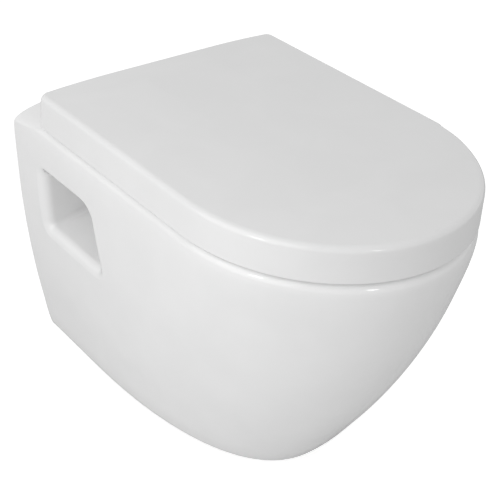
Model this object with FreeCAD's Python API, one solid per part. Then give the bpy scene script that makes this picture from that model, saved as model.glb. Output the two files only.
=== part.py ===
import FreeCAD, Part
import math
import os

from FreeCAD import Vector

# A wall hung toilet with its seat and wrap-over lid closed. Lengths are in millimetres and +Z is up.
# The wall is the plane Y = 0 and the pan stands out towards -Y. The origin lies on the wall, midway
# between the two wall studs.

# Wall side, standard for wall hung pans
stud_spacing = 180.0
stud_hole_radius = 6.5
inlet_above_studs = 35.0
inlet_radius = 27.5
inlet_depth = 45.0
outlet_below_studs = 100.0
outlet_outer_radius = 51.0
outlet_bore_radius = 44.0
outlet_bore_depth = 55.0

# Pan, outside
rim_above_studs = 90.0
pan_height = 354.0
pan_width = 355.0
pan_depth = 534.0
straight_side = 347.0          # length of the straight sides at the rim, from the wall
straight_side_foot = 92.0      # the same at the underside
side_draw_in = 45.0            # how far each side leans in by the underside
front_draw_in = 137.0          # how far the nose runs back by the underside
front_draw_power = 1.7
foot_squareness = 2.44         # exponent of the nose's curve at the underside, 2 at the rim
rim_edge_radius = 17.0
foot_edge_radius = 10.0
shoulder_width = 90.0          # the deck falls away over this width at its rear corners
shoulder_fall = 20.0
shoulder_start = 95.0          # where that begins, from the wall, inside the rim's rounded edge
shoulder_start_width = 8.0
shoulder_start_fall = 7.0

# Pan, inside
shell_wall = 11.0
bowl_wall = 9.0
deck_thickness = 14.0
wall_flange_width = 24.0
wall_flange_thickness = 22.0
mouth_centre = 331.0           # bowl mouth, an ellipse, measured from the wall
mouth_half_length = 159.0
mouth_half_width = 130.0
lip_thickness = 24.0
lip_edge_radius = 8.0
gutter_depth = 16.0            # how far the flushing gutter reaches out under the lip
gutter_height = 26.0
trap_radius = 34.0
trap_bend = 59.0
sump_centre = 292.0
sump_z = -210.0
trap_run = 70.0                # level run from the sump to the trap's first bend
duct_half_width = 36.0
duct_height = 23.0
stud_boss_radius = 24.0
web_thickness = 14.0
# The bowl's ovals: depth below the rim, centre from the wall, half length, half width
bowl_levels = [
    (48.0, 331.0, 158.0, 129.0),
    (90.0, 328.0, 146.0, 118.0),
    (140.0, 318.0, 124.0, 98.0),
    (190.0, 306.0, 96.0, 75.0),
    (240.0, 297.0, 66.0, 53.0),
    (275.0, 294.0, 47.0, 41.0),
    (300.0, 292.0, 33.5, 33.5),
]

# Side pockets that give access to the wall studs and the seat's nuts
pocket_rear = 60.0             # distance from the wall to the pocket's rear wall
pocket_front_top = 170.0
pocket_front_foot = 187.0
pocket_top_z = 35.0
pocket_foot_z = -58.0
pocket_inner_x = 62.0
pocket_floor_rise = 21.0       # the floor runs up towards the middle of the pan
pocket_corner = 24.0
pocket_wall = 10.0
pocket_edge_radius = 13.0      # the soft edges: rear and foot
pocket_crisp_cut = 9.5         # what is cut from the soft edge along the top and front, to leave them crisp
pocket_small_corner = 8.0
nut_well_ceiling = 15.0        # thickness of the deck above the seat's nuts
nut_well = 18.0                # half the width of the space round each nut
sleeve_radius = 10.0

# Seat and lid
lid_length = 470.0
lid_width = 355.0
lid_rear = 61.5                # distance from the wall to the lid's rear face
lid_straight = 344.0
lid_gap = 1.5                  # between the rim and the lid's lower edge
lid_edge_height = 40.0         # lower edge to the top at the sides
lid_crown = 5.5                # the top rises this much more towards its middle line
lid_crown_reach = 0.68         # the crown is shaped this far in, as a share of half the width
lid_draft = 1.5
lid_wall = 5.0
lid_top_wall = 4.5
lid_edge_radius = 7.0
lid_corner_radius = 6.0
lid_rear_foot_radius = 7.0
lid_rear_top_radius = 7.0
lid_slot_overlap = 12.7        # how far the slots for the hinges reach under the lid's own lugs
lid_slot_depth = 8.0
seat_lift = 6.0                # seat's underside above the rim
seat_thickness = 23.0
seat_clearance = 3.0           # between the seat and the inside of the lid
seat_rear = 94.0
seat_mouth_centre = 322.0
seat_mouth_half_length = 142.0
seat_mouth_half_width = 112.0
seat_mouth_radius = 9.0
seat_edge_radius = 7.0
seat_foot_radius = 2.0
seat_corner_radius = 12.0
rest_gap = 0.1                 # between a buffer and what it rests on
lid_buffer_height = 3.4
lid_buffer_front = (80.0, -468.0)      # places on the right hand side, mirrored to the left
lid_buffer_side = (151.0, -250.0)
seat_buffer_front = (86.6, -479.7)
seat_buffer_side = (150.0, -200.0)
buffer_radius = 7.5
buffer_post_radius = 7.0
buffer_peg_radius = 3.0
buffer_peg_length = 4.0

# Hinges, one each side, on one axis
hinge_spacing = 155.0
hinge_axis_y = -63.0
hinge_axis_above_rim = 28.0
seat_stud_y = -79.0
seat_hole_radius = 7.5
post_width = 15.0
lug_width = 23.7
lug_gap = 0.3
lug_radius = 7.0
cartridge_radius = 5.5
cartridge_inset = 0.3
pin_radius = 3.0
pin_overhang = 0.5
running_clearance = 0.05
base_radius = 17.0
base_rear_y = -69.0            # centre of the base's rear round end
base_thickness = 4.0
gasket_thickness = 1.0
post_foot_front_y = -85.0
post_front_y = -74.0
post_rear_y = -67.6
post_foot_height = 5.0

# Fasteners, threads left plain
seat_stud_radius = 4.0
seat_stud_below_rim = 45.0
seat_stud_above_rim = 9.0
stud_clearance = 0.3
plug_neck_radius = 7.3
plug_radius = 12.0
plug_height = 9.0
washer_radius = 11.0
washer_thickness = 2.0
nut_hub_radius = 7.0
nut_height = 10.0
nut_wing_length = 15.0
nut_wing_width = 4.0
nut_wing_height = 8.0
sleeve_fit = 0.1
sleeve_collar_radius = 16.0
sleeve_collar_thickness = 4.0

rim_z = rim_above_studs
foot_z = rim_z - pan_height
axis_z = rim_z + hinge_axis_above_rim
lid_z = rim_z + lid_gap
lid_front = lid_rear + lid_length
seat_z = rim_z + seat_lift
seat_top = seat_z + seat_thickness
base_z = rim_z + gasket_thickness
base_top = base_z + base_thickness
plug_z = rim_z - nut_well_ceiling - plug_height
washer_z = plug_z - washer_thickness
nut_z = washer_z - nut_height
stud_x = stud_spacing / 2
hinge_x = hinge_spacing / 2
along_x = Vector(1, 0, 0)
along_y = Vector(0, 1, 0)
along_z = Vector(0, 0, 1)


def box(x_low, x_high, y_low, y_high, z_low, z_high):
    return Part.makeBox(x_high - x_low, y_high - y_low, z_high - z_low, Vector(x_low, y_low, z_low))


def cylinder_x(radius, x_low, x_high, y, z):
    return Part.makeCylinder(radius, x_high - x_low, Vector(x_low, y, z), along_x)


def cylinder_y(radius, y_low, y_high, x, z):
    return Part.makeCylinder(radius, y_high - y_low, Vector(x, y_low, z), along_y)


def cylinder_z(radius, z_low, z_high, x, y):
    return Part.makeCylinder(radius, z_high - z_low, Vector(x, y, z_low), along_z)


def mirrored(shape):
    return shape.mirror(Vector(0, 0, 0), along_x)


def on_both_sides(shape):
    return [shape, mirrored(shape)]


def nose(half_width, reach, straight, z, squareness):
    """Half of a superellipse from the left side, round the front, to the right side."""
    points = []
    for step in range(25):
        angle = math.pi * step / 24
        across = math.copysign(abs(math.cos(angle)) ** (2 / squareness), -math.cos(angle))
        ahead = abs(math.sin(angle)) ** (2 / squareness)
        points.append(Vector(half_width * across, -straight - (reach - straight) * ahead, z))
    curve = Part.BSplineCurve()
    curve.interpolate(Points=points, InitialTangent=-along_y, FinalTangent=along_y, Scale=True)
    return curve.toShape()


def rear_corner(half_width, rear, z, corner, hand):
    """A quarter turn from the side into the rear edge."""
    bulge = corner * math.sqrt(0.5)
    side_end = Vector(hand * half_width, -rear - corner, z)
    middle = Vector(hand * (half_width - corner + bulge), -rear - corner + bulge, z)
    rear_end = Vector(hand * (half_width - corner), -rear, z)
    return Part.Arc(side_end, middle, rear_end).toShape()


def d_outline(half_width, reach, straight, rear, z, squareness=2.0, corner=0.0):
    """A D seen from above: straight rear edge, straight sides and a curved nose towards -Y."""
    side_end = -rear - corner
    edges = [
        Part.makeLine(Vector(-half_width, side_end, z), Vector(-half_width, -straight, z)),
        nose(half_width, reach, straight, z, squareness),
        Part.makeLine(Vector(half_width, -straight, z), Vector(half_width, side_end, z)),
    ]
    if corner:
        edges.append(rear_corner(half_width, rear, z, corner, 1))
    edges.append(Part.makeLine(Vector(half_width - corner, -rear, z), Vector(corner - half_width, -rear, z)))
    if corner:
        edges.append(rear_corner(half_width, rear, z, corner, -1))
    return Part.Wire(edges)


def oval(centre, half_length, half_width, z):
    middle = Vector(0, -centre, z)
    ellipse = Part.Ellipse(middle - Vector(0, half_length, 0), middle + Vector(half_width, 0, 0), middle)
    return Part.Wire([ellipse.toShape()])


def rounded_loft(outline, z_low, z_high, low_radius, high_radius, steps):
    """A body through outline(z, inset), with its lower and upper edges rounded by a quarter turn.

    A negative radius flares the end outwards instead, as the mouth of a hollow needs."""
    turns = [math.pi / 2 * step / 5 for step in range(6)]
    low_height = abs(low_radius)
    high_height = abs(high_radius)
    body = z_high - high_height - z_low - low_height
    levels = []
    if low_radius:
        for turn in turns:
            levels.append((z_low + low_height * (1 - math.cos(turn)), low_radius * (1 - math.sin(turn))))
    else:
        levels.append((z_low, 0.0))
    levels += [(z_low + low_height + body * step / steps, 0.0) for step in range(1, steps)]
    if high_radius:
        for turn in turns:
            levels.append((z_high - high_height * (1 - math.sin(turn)), high_radius * (1 - math.cos(turn))))
    else:
        levels.append((z_high, 0.0))
    return Part.makeLoft([outline(z, inset) for z, inset in levels], True, False)


def banded_loft(outline, z_low, z_high, bands):
    """A body through outline(z) in straight bands, for surfaces that stay out of sight."""
    heights = [z_low + (z_high - z_low) * step / bands for step in range(bands + 1)]
    return Part.makeLoft([outline(z) for z in heights], True, True)


def pan_outline(z, inset, rear):
    """The pan's outside at height z, moved inwards by inset and cut off at rear."""
    down = (rim_z - z) / pan_height
    half_width = pan_width / 2 - side_draw_in * down**2 - inset
    reach = pan_depth - front_draw_in * abs(down) ** front_draw_power - inset
    straight = straight_side + (straight_side_foot - straight_side) * down
    squareness = 2.0 + (foot_squareness - 2.0) * down
    return d_outline(half_width, reach, straight, rear, z, squareness)


def deck_shoulders():
    """What is taken off the deck's rear corners, which fall away more and more towards the wall."""
    side = pan_width / 2
    sections = []
    start = (-shoulder_start, shoulder_start_width, shoulder_start_fall)
    for y, across, fall in (start, (1.0, shoulder_width, shoulder_fall)):
        centre = Vector(-side + across, y, rim_z - fall)
        ellipse = Part.Ellipse(centre - Vector(across, 0, 0), centre + Vector(0, 0, fall), centre)
        curve = Part.Arc(ellipse, 0, math.pi / 2).toShape()
        outside = Vector(-side - 5, y, rim_z - fall)
        above = Vector(-side - 5, y, rim_z + 5)
        inner = Vector(-side + across, y, rim_z + 5)
        lines = [
            Part.makeLine(centre - Vector(across, 0, 0), outside),
            Part.makeLine(outside, above),
            Part.makeLine(above, inner),
            Part.makeLine(inner, centre + Vector(0, 0, fall)),
        ]
        sections.append(Part.Wire([curve] + lines))
    return Part.makeLoft(sections, True, True)


def pocket_section(x, grow, ahead):
    """The left pocket seen from the side, x left of the middle, grown by grow all round.

    Its floor falls outwards. Its top and front stand out by ahead as well."""
    side = pan_width / 2
    floor = pocket_foot_z + pocket_floor_rise * (side - x) / (side - pocket_inner_x) - grow
    top = pocket_top_z + grow + ahead
    corners = [
        Vector(-x, -pocket_rear + grow, floor),
        Vector(-x, -pocket_rear + grow, top),
        Vector(-x, -pocket_front_top - grow - ahead, top),
        Vector(-x, -pocket_front_foot - grow - ahead, floor),
    ]
    return Part.makePolygon(corners + corners[:1])


def inward_edges(space, at_front_top):
    """Edges that run across the pan: the pocket's upper front corner, or the other three."""
    found = []
    for edge in space.Edges:
        bounds = edge.BoundBox
        is_front_top = bounds.YMax < -pocket_rear - 50 and bounds.ZMin > 0
        if bounds.XLength > 10 and is_front_top == at_front_top:
            found.append(edge)
    return found


def pocket_space(x_inner, x_outer, grow, ahead):
    sections = [pocket_section(x_inner, grow, ahead), pocket_section(x_outer, grow, ahead)]
    space = Part.makeLoft(sections, True, True)
    space = space.makeFillet(pocket_corner, inward_edges(space, True))
    return space.makeFillet(pocket_small_corner, inward_edges(space, False))


def pocket_mouth_edges(shape):
    """Edges where the left pocket meets the pan's side."""
    found = []
    for edge in shape.Edges:
        bounds = edge.BoundBox
        beside = bounds.XMax < -pan_width / 2 + 15
        in_length = -pocket_front_foot - 3 < bounds.YMin and bounds.YMax < -pocket_rear + 1
        in_height = pocket_foot_z - 3 < bounds.ZMin and bounds.ZMax < pocket_top_z + 1
        if beside and in_length and in_height:
            found.append(edge)
    return found


def with_left_pocket(pan):
    """A pocket with a soft mouth, then a cut that leaves its top and front edges crisp."""
    outer_x = pan_width / 2 + 20
    pan = pan.cut(pocket_space(pocket_inner_x, outer_x, 0.0, -pocket_crisp_cut))
    pan = pan.makeFillet(pocket_edge_radius, pocket_mouth_edges(pan))
    return pan.cut(pocket_space(pocket_inner_x, outer_x, -1.0, 1.0))


def pan_outside():
    block = rounded_loft(lambda z, inset: pan_outline(z, inset, -20.0), foot_z, rim_z,
                         foot_edge_radius, rim_edge_radius, 8)
    shoulders = on_both_sides(deck_shoulders())
    behind_wall = box(-pan_width, pan_width, 0, 50, foot_z - 10, rim_z + 10)
    block = block.cut(shoulders + [behind_wall])
    middle_cut = box(0, pan_width, -pan_depth, 0, foot_z - 10, rim_z + 10)
    left_half = with_left_pocket(block.cut(middle_cut))
    return left_half.fuse(mirrored(left_half)).removeSplitter()


def pan_hollow():
    """The space between the shell and the bowl, open at the wall inside the wall flange."""
    front = banded_loft(lambda z: pan_outline(z, shell_wall, wall_flange_thickness),
                        foot_z + shell_wall, rim_z - deck_thickness, 5)
    rear = banded_loft(lambda z: pan_outline(z, wall_flange_width, -5.0),
                       foot_z + wall_flange_width, rim_z - wall_flange_width, 5)
    rear = rear.common(box(-pan_width, pan_width, -wall_flange_thickness - 2, 5, foot_z, rim_z))
    return front.fuse(rear)


def bowl_body(grow, in_bands):
    """The bowl from the gutter's floor down to the sump."""
    wires = []
    for depth, centre, half_length, half_width in bowl_levels:
        wires.append(oval(centre, half_length + grow, half_width + grow, rim_z - depth))
    bowl = Part.makeLoft(wires, True, in_bands)
    sump = Part.makeSphere(trap_radius + grow, Vector(0, -sump_centre, sump_z))
    return bowl.fuse(sump)


def trap_path():
    """From the sump back, up and over the weir, and on to the outlet."""
    bend = trap_bend
    weir_z = sump_z + 2 * bend
    rise_y = -sump_centre + trap_run
    start = Vector(0, -sump_centre, sump_z)
    turn_up = Vector(0, rise_y, sump_z)
    middle = Vector(0, rise_y + bend, sump_z + bend)
    over = Vector(0, rise_y + 2 * bend, weir_z)
    corner = bend * math.sqrt(0.5)
    first_middle = Vector(0, rise_y + corner, sump_z + bend - corner)
    second_middle = Vector(0, rise_y + 2 * bend - corner, weir_z - bend + corner)
    return Part.Wire([
        Part.makeLine(start, turn_up),
        Part.Arc(turn_up, first_middle, middle).toShape(),
        Part.Arc(middle, second_middle, over).toShape(),
        Part.makeLine(over, Vector(0, -outlet_bore_depth + 6, weir_z)),
    ])


def trap_pipe(radius):
    circle = Part.Wire([Part.Circle(Vector(0, -sump_centre, sump_z), along_y, radius).toShape()])
    return trap_path().makePipeShell([circle], True, False)


def flush_duct(grow):
    top = rim_z - lip_thickness - 2
    return box(-duct_half_width - grow, duct_half_width + grow, -mouth_centre + mouth_half_length - 20,
               -inlet_depth + 4 + grow, top - duct_height - grow, top + grow)


def china_inside():
    """Everything that stands in the pan's hollow, before its own passages are cut."""
    outlet_z = -outlet_below_studs
    sides = [
        pocket_space(pocket_inner_x - pocket_wall, pan_width / 2 + 20, pocket_wall, 0.0),
        cylinder_y(stud_boss_radius, -pocket_rear, 0, -stud_x, 0),
        box(-hinge_x - nut_well - pocket_wall, -hinge_x + nut_well + pocket_wall,
            seat_stud_y - nut_well - pocket_wall, -pocket_rear + pocket_wall, 20, rim_z - 2),
    ]
    solids = [
        bowl_body(bowl_wall, True),
        bowl_gutter(bowl_wall),
        trap_pipe(trap_radius + bowl_wall - 1),
        cylinder_y(outlet_outer_radius, -outlet_bore_depth - bowl_wall, 0, 0, outlet_z),
        cylinder_y(inlet_radius + bowl_wall, -inlet_depth - bowl_wall, 0, 0, inlet_above_studs),
        flush_duct(bowl_wall - 1),
        box(-pan_width, pan_width, -pocket_rear + pocket_wall, -4, -web_thickness / 2, web_thickness / 2),
    ]
    for side in sides:
        solids += on_both_sides(side)
    return solids


def bowl_gutter(grow):
    """The space under the lip that the flush runs round in."""
    top = rim_z - lip_thickness
    half_length = mouth_half_length + gutter_depth + grow
    half_width = mouth_half_width + gutter_depth + grow
    return banded_loft(lambda z: oval(mouth_centre, half_length, half_width, z), top - gutter_height - grow,
                       top + grow, 1)


def bowl_mouth():
    return rounded_loft(
        lambda z, inset: oval(mouth_centre, mouth_half_length + inset, mouth_half_width + inset, z),
        rim_z - lip_thickness - 1, rim_z, lip_edge_radius / 2, lip_edge_radius, 3)


def passages():
    """What water and fixings pass through."""
    sides = [
        cylinder_y(sleeve_radius, -pocket_rear - 5, 5, -stud_x, 0),
        cylinder_z(seat_hole_radius, 0, rim_z + 5, -hinge_x, seat_stud_y),
        box(-hinge_x - nut_well, -hinge_x + nut_well, seat_stud_y - nut_well, -pocket_rear,
            0, rim_z - nut_well_ceiling),
    ]
    solids = [
        bowl_body(0.0, False),
        bowl_gutter(0.0),
        bowl_mouth(),
        trap_pipe(trap_radius),
        cylinder_y(outlet_bore_radius, -outlet_bore_depth, 5, 0, -outlet_below_studs),
        cylinder_y(inlet_radius, -inlet_depth, 5, 0, inlet_above_studs),
        flush_duct(0.0),
    ]
    for side in sides:
        solids += on_both_sides(side)
    return solids


def pan():
    hollow = pan_hollow().cut(china_inside())
    return pan_outside().cut([hollow] + passages())


def lid_outline(z, inset, rear):
    """The lid seen from above at height z. Its sides and nose lean in a little as they rise."""
    draw = inset + lid_draft * min(z - lid_z, lid_edge_height) / lid_edge_height
    return d_outline(lid_width / 2 - draw, lid_front - draw, lid_straight, rear, z, 2.0, lid_corner_radius)


def lid_body(inset, z_low, drop, edge_radius):
    """The lid's solid form, moved inwards by inset and lowered by drop. Its rear face is flat, and its top
    is arched across, up to that face."""
    top = lid_z + lid_edge_height - drop
    rear = lid_rear + inset
    sides = rounded_loft(lambda z, turn_in: lid_outline(z, inset + turn_in, rear), z_low, top, 0.0,
                         edge_radius, 8)
    half = lid_width / 2 - edge_radius
    sections = []
    for step in range(6):
        in_by = lid_crown_reach * half * step / 5
        rise = lid_crown * (1 - (1 - in_by / half) ** 2)
        sections.append(lid_outline(top + rise, inset + edge_radius + in_by, rear))
    crown = Part.makeLoft(sections, True, False)
    return sides.fuse(crown)


def beyond_rear_edges():
    """What is taken off the lid's rear face to round it into the underside and into the arched top."""
    foot_y = -lid_rear - lid_rear_foot_radius
    foot_z = lid_z + lid_rear_foot_radius
    foot = box(-lid_width, lid_width, foot_y, 0, lid_z - 5, foot_z)
    top_y = -lid_rear - lid_rear_top_radius
    top_z = lid_z + lid_edge_height + lid_crown - lid_rear_top_radius
    top = box(-lid_width, lid_width, top_y, 0, top_z, top_z + 2 * lid_rear_top_radius)
    return [
        foot.cut(cylinder_x(lid_rear_foot_radius, -lid_width, lid_width, foot_y, foot_z)),
        top.cut(cylinder_x(lid_rear_top_radius, -lid_width, lid_width, top_y, top_z)),
    ]


def hinge_span(piece):
    """X range of a piece of the left hinge: the seat's lug, the post or the lid's lug."""
    post = (-hinge_x - post_width / 2, -hinge_x + post_width / 2)
    return {
        "seat": (post[1] + lug_gap, post[1] + lug_gap + lug_width),
        "post": post,
        "lid": (post[0] - lug_gap - lug_width, post[0] - lug_gap),
    }[piece]


def lug(span, y_front, z_low, z_high, z_high_at_axis):
    """The left arm that runs from a flat end at y_front back to a barrel round the hinge axis."""
    x_low, x_high = span
    barrel = cylinder_x(lug_radius, x_low, x_high, hinge_axis_y, axis_z)
    corners = [
        Vector(x_low, y_front, z_low),
        Vector(x_low, y_front, z_high),
        Vector(x_low, hinge_axis_y, z_high_at_axis),
        Vector(x_low, hinge_axis_y, axis_z - lug_radius),
    ]
    arm = Part.Face(Part.makePolygon(corners + corners[:1])).extrude(Vector(x_high - x_low, 0, 0))
    return barrel.fuse(arm)


def cartridge_bore(span):
    return cylinder_x(cartridge_radius, span[0] - 1, span[1] + 1, hinge_axis_y, axis_z)


def lid():
    seat_span = hinge_span("seat")
    lid_span = hinge_span("lid")
    rear_inside = -lid_rear - lid_wall
    top_inside = lid_z + lid_edge_height - lid_top_wall
    shell = lid_body(0.0, lid_z, 0.0, lid_edge_radius)
    hollow = lid_body(lid_wall, lid_z - 5, lid_top_wall, 2.0)
    slot = box(lid_span[1] - lid_slot_overlap, seat_span[1] + 2, rear_inside - lid_slot_depth, 0,
               lid_z - 5, top_inside - 1)
    arm = lug(lid_span, rear_inside - 3, axis_z - lug_radius, top_inside + 1, top_inside + 1)
    post_z = seat_top + rest_gap + lid_buffer_height
    posts = [cylinder_z(buffer_post_radius, post_z, top_inside + 3, x, y) for x, y in lid_buffer_places()]
    pegs = [buffer_peg(x, y, post_z) for x, y in lid_buffer_places()]
    shell = shell.cut([hollow] + beyond_rear_edges() + on_both_sides(slot))
    shell = shell.fuse(on_both_sides(arm) + posts)
    return shell.cut(on_both_sides(cartridge_bore(lid_span)) + pegs).removeSplitter()


def four_places(front, side):
    return [(hand * x, y) for x, y in (front, side) for hand in (1, -1)]


def lid_buffer_places():
    return four_places(lid_buffer_front, lid_buffer_side)


def seat_buffer_places():
    return four_places(seat_buffer_front, seat_buffer_side)


def buffer_peg(x, y, z_low):
    """The stem of a rubber buffer, and the hole it is pushed into."""
    return cylinder_z(buffer_peg_radius, z_low, z_low + buffer_peg_length, x, y)


def buffer(x, y, z_low, height):
    pad = cylinder_z(buffer_radius, z_low, z_low + height, x, y)
    rims = [edge for edge in pad.Edges if edge.BoundBox.ZMax < z_low + 0.1 and edge.BoundBox.XLength > 1]
    pad = pad.makeFillet(1.5, rims)
    return pad.fuse(buffer_peg(x, y, z_low + height)).removeSplitter()


def lid_buffers():
    z_low = seat_top + rest_gap
    return Part.makeCompound([buffer(x, y, z_low, lid_buffer_height) for x, y in lid_buffer_places()])


def seat_buffers():
    height = seat_lift - rest_gap
    return Part.makeCompound([buffer(x, y, rim_z + rest_gap, height) for x, y in seat_buffer_places()])


def seat_outline(z, inset):
    draw = lid_wall + seat_clearance + inset
    return d_outline(lid_width / 2 - draw, lid_front - draw, lid_straight, seat_rear + inset, z, 2.0,
                     seat_corner_radius)


def seat_mouth():
    """The seat's opening, wider at the top where the seat is rolled into it."""
    return rounded_loft(
        lambda z, inset: oval(seat_mouth_centre, seat_mouth_half_length + inset,
                              seat_mouth_half_width + inset, z),
        seat_z, seat_top, seat_foot_radius, seat_mouth_radius, 6)


def seat_ring():
    seat_span = hinge_span("seat")
    ring = rounded_loft(seat_outline, seat_z, seat_top, seat_foot_radius, seat_edge_radius, 6)
    arm = lug(seat_span, -seat_rear - 2, seat_z + seat_foot_radius, seat_top - seat_edge_radius + 1,
              axis_z + lug_radius)
    pegs = [buffer_peg(x, y, seat_z) for x, y in seat_buffer_places()]
    ring = ring.fuse(on_both_sides(arm))
    return ring.cut([seat_mouth()] + on_both_sides(cartridge_bore(seat_span)) + pegs).removeSplitter()


def obround(radius, z_low, z_high):
    """The left hinge's footprint, round at both ends."""
    ends = [cylinder_z(radius, z_low, z_high, -hinge_x, y) for y in (seat_stud_y, base_rear_y)]
    middle = box(-hinge_x - radius, -hinge_x + radius, seat_stud_y, base_rear_y, z_low, z_high)
    return middle.fuse(ends).removeSplitter()


def stud_hole(radius, z_low, z_high):
    return cylinder_z(radius, z_low, z_high, -hinge_x, seat_stud_y)


def hinge_base():
    hole = stud_hole(seat_stud_radius + stud_clearance, base_z - 1, base_top + 1)
    return obround(base_radius, base_z, base_top).cut(hole)


def hinge_gasket():
    hole = stud_hole(seat_stud_radius + stud_clearance, rim_z - 1, base_z + 1)
    return obround(base_radius, rim_z, base_z).cut(hole)


def hinge_post():
    """A foot over the stud, with an upright that carries the hinge pin."""
    x_low, x_high = hinge_span("post")
    foot = box(x_low, x_high, post_foot_front_y, post_rear_y, base_top, base_top + post_foot_height)
    upright = box(x_low, x_high, post_front_y, post_rear_y, base_top, axis_z)
    head = cylinder_x(lug_radius, x_low, x_high, hinge_axis_y, axis_z)
    pin_hole = cylinder_x(pin_radius, x_low - 1, x_high + 1, hinge_axis_y, axis_z)
    socket = stud_hole(seat_stud_radius, base_top - 1, rim_z + seat_stud_above_rim)
    return foot.fuse([upright, head]).cut([pin_hole, socket]).removeSplitter()


def hinge_pin():
    x_low = hinge_span("lid")[0] - pin_overhang
    x_high = hinge_span("seat")[1] + pin_overhang
    return cylinder_x(pin_radius, x_low, x_high, hinge_axis_y, axis_z)


def cartridge(piece):
    """A sleeve that turns on the pin: a soft-close damper or a plain bush."""
    span = hinge_span(piece)
    body = cylinder_x(cartridge_radius, span[0] + cartridge_inset, span[1] - cartridge_inset, hinge_axis_y,
                      axis_z)
    bore = cylinder_x(pin_radius + running_clearance, span[0] - 1, span[1] + 1, hinge_axis_y, axis_z)
    return body.cut(bore)


def both_as_one(left_shape):
    return Part.makeCompound(on_both_sides(left_shape))


def seat_studs():
    return both_as_one(stud_hole(seat_stud_radius, rim_z - seat_stud_below_rim, rim_z + seat_stud_above_rim))


def seat_plugs():
    """Rubber cones below the deck, each with a neck that centres its stud in the glazed hole."""
    ceiling = rim_z - nut_well_ceiling
    foot = Vector(-hinge_x, seat_stud_y, plug_z)
    cone = Part.makeCone(plug_radius, plug_neck_radius + 1, plug_height, foot)
    neck = stud_hole(plug_neck_radius, plug_z + 1, ceiling + plug_height)
    bore = stud_hole(seat_stud_radius + stud_clearance, plug_z - 1, rim_z)
    return both_as_one(cone.fuse(neck).cut(bore).removeSplitter())


def seat_washers():
    disc = stud_hole(washer_radius, washer_z, plug_z)
    return both_as_one(disc.cut(stud_hole(seat_stud_radius + stud_clearance, washer_z - 1, plug_z + 1)))


def seat_nuts():
    """Wing nuts, turned by hand from the side pockets."""
    hub = stud_hole(nut_hub_radius, nut_z, washer_z)
    wings = box(-hinge_x - nut_wing_length, -hinge_x + nut_wing_length, seat_stud_y - nut_wing_width / 2,
                seat_stud_y + nut_wing_width / 2, nut_z, nut_z + nut_wing_height)
    bore = stud_hole(seat_stud_radius + running_clearance, nut_z - 1, washer_z + 1)
    return both_as_one(hub.fuse(wings).cut(bore).removeSplitter())


def wall_sleeve():
    tube = cylinder_y(sleeve_radius - sleeve_fit, -pocket_rear - 1, 0, -stud_x, 0)
    collar_y = -pocket_rear - sleeve_collar_thickness
    collar = cylinder_y(sleeve_collar_radius, collar_y, -pocket_rear, -stud_x, 0)
    bore = cylinder_y(stud_hole_radius, collar_y - 1, 1, -stud_x, 0)
    return tube.fuse(collar).cut(bore).removeSplitter()


nodes = {
    "pan": pan(),
    "lid": lid(),
    "lid_buffers": lid_buffers(),
    "seat_ring": seat_ring(),
    "seat_buffers": seat_buffers(),
    "seat_bush": cartridge("seat"),
    "seat_damper": mirrored(cartridge("seat")),
    "lid_damper": cartridge("lid"),
    "lid_bush": mirrored(cartridge("lid")),
    "seat_studs": seat_studs(),
    "seat_plugs": seat_plugs(),
    "seat_washers": seat_washers(),
    "seat_nuts": seat_nuts(),
}
sided = {
    "hinge_base": hinge_base(),
    "hinge_gasket": hinge_gasket(),
    "hinge_post": hinge_post(),
    "hinge_pin": hinge_pin(),
    "wall_sleeve": wall_sleeve(),
}
for name, left_shape in sided.items():
    nodes[name + "_left"] = left_shape
    nodes[name + "_right"] = mirrored(left_shape)

os.makedirs("parts", exist_ok=True)
for name, shape in nodes.items():
    shape.exportStep("parts/" + name + ".step")
    print(name, len(shape.Solids), shape.isValid(), round(shape.Volume / 1000, 1), "cm3")
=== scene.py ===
import math

import bpy
from mathutils import Matrix, Vector


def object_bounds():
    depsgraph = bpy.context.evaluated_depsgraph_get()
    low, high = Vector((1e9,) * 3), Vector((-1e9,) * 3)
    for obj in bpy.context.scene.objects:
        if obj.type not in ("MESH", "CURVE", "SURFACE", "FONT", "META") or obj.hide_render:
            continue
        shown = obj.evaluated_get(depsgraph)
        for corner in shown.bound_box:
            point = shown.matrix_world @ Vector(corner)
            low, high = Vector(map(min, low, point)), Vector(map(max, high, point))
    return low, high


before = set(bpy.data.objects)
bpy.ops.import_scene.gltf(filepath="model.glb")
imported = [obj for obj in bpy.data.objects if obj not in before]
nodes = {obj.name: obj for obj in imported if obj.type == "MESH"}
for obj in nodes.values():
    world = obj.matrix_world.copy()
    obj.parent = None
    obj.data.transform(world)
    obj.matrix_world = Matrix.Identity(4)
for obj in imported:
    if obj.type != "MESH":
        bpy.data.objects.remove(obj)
cadLow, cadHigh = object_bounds()
print("frame loaded,", len(nodes), "pieces")


def linearColour(hexCode):
    channels = [int(hexCode[place:place + 2], 16) / 255 for place in (1, 3, 5)]
    return tuple(c / 12.92 if c <= 0.04045 else ((c + 0.055) / 1.055) ** 2.4 for c in channels) + (1.0,)


def perMillimetre(size):
    # texture scale for a feature of that many millimetres, in metres
    return 1000.0 / size


def addNode(tree, kind, values=None, links=None, **settings):
    node = tree.nodes.new(kind)
    for name, value in settings.items():
        setattr(node, name, value)
    for name, value in (values or {}).items():
        node.inputs[name].default_value = value
    for name, source in (links or {}).items():
        tree.links.new(source, node.inputs[name])
    return node


def newMaterial(name):
    material = bpy.data.materials.new(name)
    material.use_nodes = True
    material.node_tree.nodes.clear()
    return material, material.node_tree


# A noise mostly lies between these two values, so a tint spread over them uses both of its colours.
noiseRange = (0.35, 0.65)


def tintBetween(tree, factor, low, high):
    ramp = addNode(tree, "ShaderNodeValToRGB", links={"Fac": factor})
    for element, position, hexCode in zip(ramp.color_ramp.elements, noiseRange, (low, high)):
        element.position = position
        element.color = linearColour(hexCode)
    return ramp.outputs["Color"]


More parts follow.
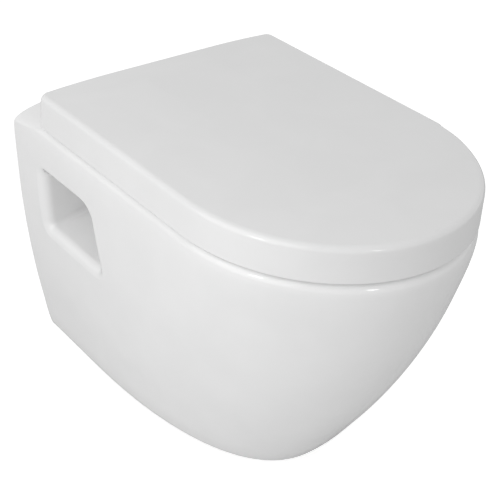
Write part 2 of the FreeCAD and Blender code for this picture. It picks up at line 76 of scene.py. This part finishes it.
# Glazed vitreous china, slip cast, sprayed with an opaque white glaze and fired. The body scatters light
# softly and the glaze over it gives clear, slightly wavy reflections.
china = {
    "white": "#F5F5F5",
    "thinGlaze": "#F3F3F3",
    "cloudSize": 60.0,
    "waveSize": 14.0,
    "waveHeight": 0.02,
    "bodyRoughness": 0.5,
    "bodyIor": 1.45,
    "glazeRoughness": 0.06,
    "glazeIor": 1.52,
}


def glazedVitreousChina():
    material, tree = newMaterial("glazedVitreousChina")
    place = addNode(tree, "ShaderNodeTexCoord").outputs["Object"]
    cloud = addNode(tree, "ShaderNodeTexNoise", {"Scale": perMillimetre(china["cloudSize"]), "Detail": 3.0},
                    {"Vector": place})
    wave = addNode(tree, "ShaderNodeTexNoise", {"Scale": perMillimetre(china["waveSize"]), "Detail": 1.0},
                   {"Vector": place})
    bump = addNode(tree, "ShaderNodeBump", {"Distance": china["waveHeight"] / 1000, "Strength": 1.0},
                   {"Height": wave.outputs["Fac"]})
    colour = tintBetween(tree, cloud.outputs["Fac"], china["thinGlaze"], china["white"])
    shader = addNode(tree, "ShaderNodeBsdfPrincipled", {
        "Roughness": china["bodyRoughness"],
        "IOR": china["bodyIor"],
        "Coat Weight": 1.0,
        "Coat Roughness": china["glazeRoughness"],
        "Coat IOR": china["glazeIor"],
    }, {"Base Color": colour, "Coat Normal": bump.outputs["Normal"]})
    addNode(tree, "ShaderNodeOutputMaterial", links={"Surface": shader.outputs["BSDF"]})
    return material


# Urea-formaldehyde, pressed in a polished mould. Harder and glossier than most plastics, a touch softer
# in its reflections than the glaze.
urea = {
    "white": "#F1F1F1",
    "flow": "#EFEFEF",
    "flowSize": 70.0,
    "waveSize": 9.0,
    "waveHeight": 0.006,
    "roughness": 0.1,
    "ior": 1.55,
}


def pressedUrea():
    material, tree = newMaterial("pressedUrea")
    place = addNode(tree, "ShaderNodeTexCoord").outputs["Object"]
    flow = addNode(tree, "ShaderNodeTexNoise", {
        "Scale": perMillimetre(urea["flowSize"]),
        "Detail": 4.0,
        "Distortion": 0.6,
    }, {"Vector": place})
    wave = addNode(tree, "ShaderNodeTexNoise", {"Scale": perMillimetre(urea["waveSize"])}, {"Vector": place})
    bump = addNode(tree, "ShaderNodeBump", {"Distance": urea["waveHeight"] / 1000},
                   {"Height": wave.outputs["Fac"]})
    colour = tintBetween(tree, flow.outputs["Fac"], urea["flow"], urea["white"])
    shader = addNode(tree, "ShaderNodeBsdfPrincipled", {"Roughness": urea["roughness"], "IOR": urea["ior"]},
                     {"Base Color": colour, "Normal": bump.outputs["Normal"]})
    addNode(tree, "ShaderNodeOutputMaterial", links={"Surface": shader.outputs["BSDF"]})
    return material


# One recipe for the small moulded and metal pieces: a tint that varies a little, and a fine relief.
smallFinishes = {
    # thermoplastic rubber, moulded: dull, with a faint bloom
    "mouldedRubber": {"low": "#B9B9B6", "high": "#C4C4C1", "roughness": 0.75, "ior": 1.5,
                      "metallic": 0.0, "grain": 1.2, "height": 0.03, "stretch": (1, 1, 1)},
    # stainless steel, polished on a felt wheel: bright, with faint lines along the piece
    "polishedStainless": {"low": "#B4B5B7", "high": "#C3C4C6", "roughness": 0.16, "ior": 1.5,
                          "metallic": 1.0, "grain": 0.6, "height": 0.004, "stretch": (0.05, 1, 1)},
    # steel pin, centreless ground: fine rings round the pin
    "groundSteel": {"low": "#A2A3A5", "high": "#B4B5B6", "roughness": 0.28, "ior": 1.5,
                    "metallic": 1.0, "grain": 0.5, "height": 0.006, "stretch": (1, 0.05, 0.05)},
    # glass-filled nylon, injection moulded: black, with a dry speckle
    "glassFilledNylon": {"low": "#1C1C1E", "high": "#27272A", "roughness": 0.55, "ior": 1.53,
                         "metallic": 0.0, "grain": 0.9, "height": 0.02, "stretch": (1, 1, 1)},
    # acetal, turned from rod: creamy, slightly waxy
    "turnedAcetal": {"low": "#D9D6CB", "high": "#E2DFD5", "roughness": 0.4, "ior": 1.48,
                     "metallic": 0.0, "grain": 0.8, "height": 0.008, "stretch": (1, 0.1, 0.1)},
    # natural nylon, injection moulded: off-white, satin
    "mouldedNylon": {"low": "#D5D4CD", "high": "#DFDED8", "roughness": 0.45, "ior": 1.53,
                     "metallic": 0.0, "grain": 1.5, "height": 0.015, "stretch": (1, 1, 1)},
}


def smallFinish(name):
    finish = smallFinishes[name]
    material, tree = newMaterial(name)
    place = addNode(tree, "ShaderNodeTexCoord").outputs["Object"]
    mapping = addNode(tree, "ShaderNodeMapping", {"Scale": finish["stretch"]}, {"Vector": place})
    grain = addNode(tree, "ShaderNodeTexNoise", {"Scale": perMillimetre(finish["grain"]), "Detail": 3.0},
                    {"Vector": mapping.outputs["Vector"]})
    bump = addNode(tree, "ShaderNodeBump", {"Distance": finish["height"] / 1000},
                   {"Height": grain.outputs["Fac"]})
    colour = tintBetween(tree, grain.outputs["Fac"], finish["low"], finish["high"])
    shader = addNode(tree, "ShaderNodeBsdfPrincipled", {
        "Roughness": finish["roughness"],
        "IOR": finish["ior"],
        "Metallic": finish["metallic"],
    }, {"Base Color": colour, "Normal": bump.outputs["Normal"]})
    addNode(tree, "ShaderNodeOutputMaterial", links={"Surface": shader.outputs["BSDF"]})
    return material


# Zinc-plated steel rod with a rolled M8 thread: grey-blue, with the thread's ridges 1.25 mm apart.
threadedRod = {
    "low": "#A9ADB2",
    "high": "#B9BDC1",
    "cloudSize": 4.0,
    "pitch": 1.25,
    "threadHeight": 0.5,
    "roughness": 0.32,
}


def zincPlatedThread():
    material, tree = newMaterial("zincPlatedThread")
    place = addNode(tree, "ShaderNodeTexCoord").outputs["Object"]
    cloud = addNode(tree, "ShaderNodeTexNoise", {"Scale": perMillimetre(threadedRod["cloudSize"])},
                    {"Vector": place})
    # a wave texture repeats every pi / 10 units at scale 1
    waveScale = math.pi / 10 * perMillimetre(threadedRod["pitch"])
    thread = addNode(tree, "ShaderNodeTexWave", {"Scale": waveScale}, {"Vector": place},
                     bands_direction="Z")
    bump = addNode(tree, "ShaderNodeBump", {"Distance": threadedRod["threadHeight"] / 1000},
                   {"Height": thread.outputs["Fac"]})
    colour = tintBetween(tree, cloud.outputs["Fac"], threadedRod["low"], threadedRod["high"])
    shader = addNode(tree, "ShaderNodeBsdfPrincipled", {
        "Roughness": threadedRod["roughness"],
        "Metallic": 1.0,
    }, {"Base Color": colour, "Normal": bump.outputs["Normal"]})
    addNode(tree, "ShaderNodeOutputMaterial", links={"Surface": shader.outputs["BSDF"]})
    return material


def paint(material, *names):
    for name in names:
        slots = nodes[name].data.materials
        slots.clear()
        slots.append(material)


def bothSides(name):
    return [name + "_left", name + "_right"]


paint(glazedVitreousChina(), "pan")
paint(pressedUrea(), "lid", "seat_ring")
paint(smallFinish("mouldedRubber"), "lid_buffers", "seat_buffers", "seat_plugs", *bothSides("hinge_gasket"))
paint(smallFinish("polishedStainless"), *bothSides("hinge_base"), *bothSides("hinge_post"))
paint(smallFinish("groundSteel"), *bothSides("hinge_pin"))
paint(smallFinish("glassFilledNylon"), "seat_damper", "lid_damper")
paint(smallFinish("turnedAcetal"), "seat_bush", "lid_bush")
paint(smallFinish("mouldedNylon"), "seat_nuts", *bothSides("wall_sleeve"))
paint(zincPlatedThread(), "seat_studs", "seat_washers")
print("finishes set")


# The camera stands in front and to the left, a little above, and its frame is moved sideways.
view = {
    "azimuth": -38.94,
    "elevation": 33.39,
    "roll": 3.1,
    "distance": 1.4074,
    "target": (-0.01598, -0.17963, -0.06946),
    "lens": 80.47,
    "shift": (0.0935, -0.0099),
}


def placeCamera():
    camera = bpy.data.objects.new("camera", bpy.data.cameras.new("camera"))
    bpy.context.scene.collection.objects.link(camera)
    azimuth = math.radians(view["azimuth"])
    elevation = math.radians(view["elevation"])
    back = Vector((math.sin(azimuth) * math.cos(elevation), -math.cos(azimuth) * math.cos(elevation),
                   math.sin(elevation)))
    turn = (-back).to_track_quat("-Z", "Y").to_matrix().to_4x4()
    place = Matrix.Translation(Vector(view["target"]) + back * view["distance"])
    camera.matrix_world = place @ turn @ Matrix.Rotation(math.radians(view["roll"]), 4, "Z")
    camera.data.lens = view["lens"]
    camera.data.shift_x, camera.data.shift_y = view["shift"]
    bpy.context.scene.camera = camera


# A wide dim panel to the left gives the shading, and two small soft boxes give the glints on the edges.
# The room round them is even and pale.
studio = {
    "roomGrey": 0.575,
    "leftPanel": {"direction": (-0.86, -0.08, 0.52), "distance": 1.3, "size": 1.6, "watts": 5.7},
    "leftBox": {"direction": (-0.865, -0.272, 0.445), "distance": 1.1, "size": 0.13, "watts": 0.5},
    "frontBox": {"direction": (-0.1, -0.9, 0.46), "distance": 1.35, "size": 0.17, "watts": 0.65},
    "floorDrop": 0.046,
    "floorSize": 14.0,
    "floorGrey": "#E8E8E8",
    "floorGlow": 0.62,
}


def addSoftBox(name):
    box = studio[name]
    lamp = bpy.data.lights.new(name, "AREA")
    lamp.shape = "DISK"
    lamp.size = box["size"]
    lamp.energy = box["watts"]
    holder = bpy.data.objects.new(name, lamp)
    bpy.context.scene.collection.objects.link(holder)
    direction = Vector(box["direction"]).normalized()
    middle = (cadLow + cadHigh) / 2
    holder.location = middle + direction * box["distance"]
    holder.rotation_euler = direction.to_track_quat("Z", "Y").to_euler()


def lightRoom():
    # the room lights the object as an even grey, and it is white where it is seen or mirrored
    world = bpy.data.worlds.new("studioRoom")
    bpy.context.scene.world = world
    world.use_nodes = True
    tree = world.node_tree
    tree.nodes.clear()
    grey = studio["roomGrey"]
    room = addNode(tree, "ShaderNodeBackground", {"Color": (grey, grey, grey, 1.0)})
    white = addNode(tree, "ShaderNodeBackground", {"Color": (1.0, 1.0, 1.0, 1.0)})
    rays = addNode(tree, "ShaderNodeLightPath").outputs
    seenOrMirrored = addNode(tree, "ShaderNodeMath", operation="MAXIMUM",
                             links={0: rays["Is Camera Ray"], 1: rays["Is Glossy Ray"]})
    seen = addNode(tree, "ShaderNodeMath", operation="MAXIMUM",
                   links={0: seenOrMirrored.outputs[0], 1: rays["Is Transmission Ray"]})
    mix = addNode(tree, "ShaderNodeMixShader",
                  links={0: seen.outputs[0], 1: room.outputs[0], 2: white.outputs[0]})
    addNode(tree, "ShaderNodeOutputWorld", links={"Surface": mix.outputs[0]})


def layFloor():
    # matt white sheet that glows a little for the camera, so that it is white round the object's shadow
    half = studio["floorSize"] / 2
    height = cadLow.z - studio["floorDrop"]
    corners = [(x * half, y * half, height) for x, y in ((-1, -1), (1, -1), (1, 1), (-1, 1))]
    sheet = bpy.data.meshes.new("floor")
    sheet.from_pydata(corners, [], [(0, 1, 2, 3)])
    floor = bpy.data.objects.new("floor", sheet)
    bpy.context.scene.collection.objects.link(floor)
    material, tree = newMaterial("floorSheet")
    matt = addNode(tree, "ShaderNodeBsdfDiffuse", {"Color": linearColour(studio["floorGrey"])})
    rays = addNode(tree, "ShaderNodeLightPath").outputs
    glow = addNode(tree, "ShaderNodeMath", {1: studio["floorGlow"]}, {0: rays["Is Camera Ray"]},
                   operation="MULTIPLY")
    light = addNode(tree, "ShaderNodeEmission", links={"Strength": glow.outputs[0]})
    both = addNode(tree, "ShaderNodeAddShader", links={0: matt.outputs[0], 1: light.outputs[0]})
    addNode(tree, "ShaderNodeOutputMaterial", links={"Surface": both.outputs[0]})
    sheet.materials.append(material)


placeCamera()
lightRoom()
for lampName in ("leftPanel", "leftBox", "frontBox"):
    addSoftBox(lampName)
layFloor()
bpy.context.scene.view_settings.view_transform = "Standard"
print("studio set")
